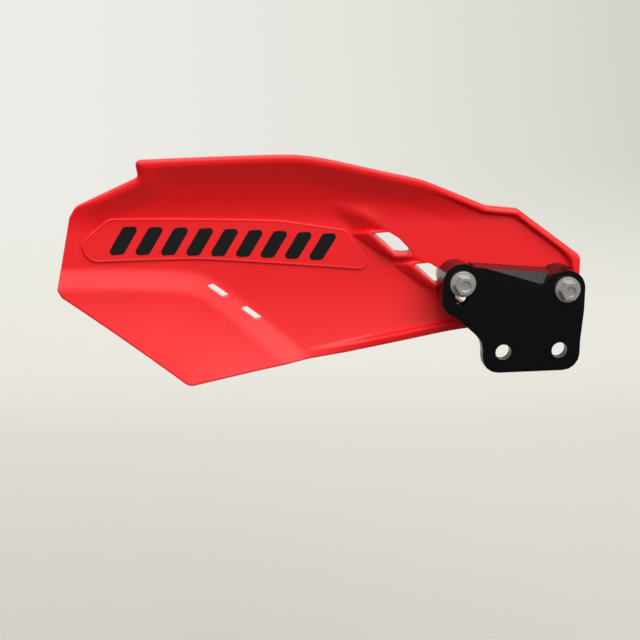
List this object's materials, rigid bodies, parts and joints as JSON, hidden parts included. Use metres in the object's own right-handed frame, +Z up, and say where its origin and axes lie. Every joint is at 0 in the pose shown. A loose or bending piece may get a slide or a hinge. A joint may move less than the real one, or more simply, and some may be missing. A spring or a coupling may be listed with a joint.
{
  "type": "motorcycle hand guard",
  "caption": "Open hand guard for a motorcycle bar: curved red plastic shield with vents on a black bracket that bolts to the lever perch and lets the shield tilt.",
  "frame": {"origin": "middle of the two perch holes, on the bracket's rider-side face", "axes": "+X inboard along the bar, +Y forward, away from the rider and along the bolts, +Z up"},
  "size_m": [0.2162, 0.033, 0.0931],
  "materials": {
    "shield_red": "satin moulded, coloured through",
    "panel_black": "satin print on the recessed panel",
    "bracket_black": "gloss moulded, glass filled",
    "bolt_grey": "dull grey coating",
    "bright_steel": "zinc plated"
  },
  "bodies": {
    "bracket": {"bracket": "bracket_black"},
    "guard": {"shield": "shield_red", "inlay_bars": "panel_black", "slot_sleeve": "bright_steel", "pivot_bolt": "bolt_grey", "slot_bolt": "bolt_grey", "pivot_bush": "bright_steel", "slot_bush": "bright_steel", "pivot_washer": "bright_steel", "slot_washer": "bright_steel", "pivot_nut": "bright_steel", "slot_nut": "bright_steel"}
  },
  "joints": [
    {"name": "guard_tilt", "type": "hinge", "parent": "bracket", "child": "guard", "pos_m": [0.014, 0.00775, 0.026], "axis": [0, 1, 0], "range_deg": [-8, 0]}
  ]
}
